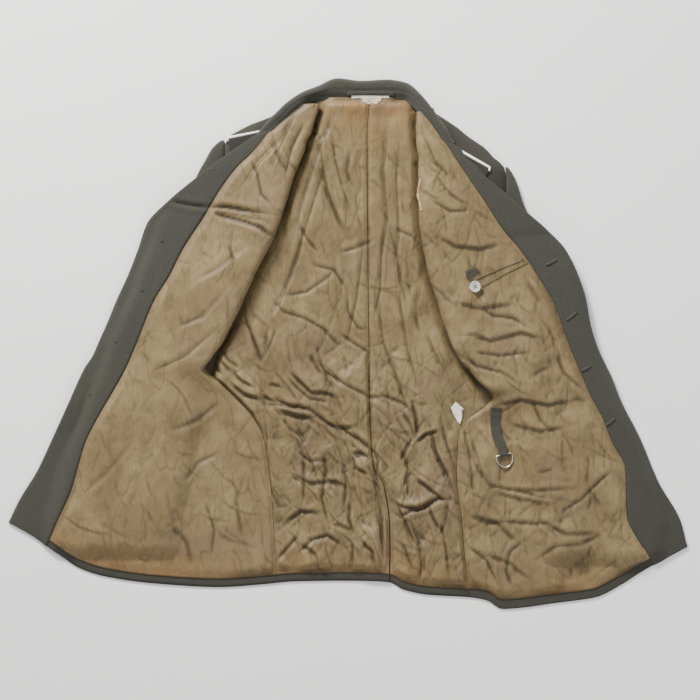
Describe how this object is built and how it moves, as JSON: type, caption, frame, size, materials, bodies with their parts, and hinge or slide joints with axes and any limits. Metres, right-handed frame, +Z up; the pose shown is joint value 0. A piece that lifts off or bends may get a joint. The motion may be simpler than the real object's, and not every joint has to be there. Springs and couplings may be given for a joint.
{
  "type": "military dress jacket",
  "caption": "Lined wool uniform tunic laid open on its back, fronts folded outward to show the satin lining, sleeves tucked beneath.",
  "frame": {"origin": "centre of the bounding box, on the table below the jacket", "axes": "+Z up from the table; +Y from the hem to the neck; +X to the wearer's left front edge"},
  "size_m": [1.0611, 0.8282, 0.0315],
  "materials": {
    "field_grey_wool": "matte wool twill with a short nap",
    "bronze_satin": "worn satin twill with a soft sheen",
    "white_cloth": "plain white cloth",
    "dark_board_cloth": "matte dark cloth",
    "worn_steel": "dull worn steel",
    "grey_button": "smooth grey resin"
  },
  "bodies": {
    "jacket": {"back_right": "field_grey_wool", "back_left": "field_grey_wool", "front_right": "field_grey_wool", "front_left": "field_grey_wool", "facing_right": "field_grey_wool", "facing_left": "field_grey_wool", "lapel_right": "field_grey_wool", "lapel_left": "field_grey_wool", "sleeve_right": "field_grey_wool", "sleeve_left": "field_grey_wool", "collar": "field_grey_wool", "hanger_tab": "field_grey_wool", "pocket_tab": "field_grey_wool", "hanger_strap": "field_grey_wool", "back_lining_right": "bronze_satin", "back_lining_left": "bronze_satin", "front_lining_right": "bronze_satin", "front_lining_left": "bronze_satin", "pocket_welt": "bronze_satin", "board_piping_right": "white_cloth", "board_piping_left": "white_cloth", "neck_label": "white_cloth", "size_tag": "white_cloth", "shoulder_board_right": "dark_board_cloth", "shoulder_board_left": "dark_board_cloth", "front_button_1": "worn_steel", "front_button_2": "worn_steel", "front_button_3": "worn_steel", "front_button_4": "worn_steel", "pocket_button": "grey_button"},
    "ring": {"d_ring": "worn_steel"}
  },
  "joints": [
    {"name": "ring_swing", "type": "hinge", "parent": "jacket", "child": "ring", "pos_m": [0.243, -0.1725, 0.00878], "axis": [-0.9744, -0.225, 0], "range_deg": [0, 140]}
  ]
}
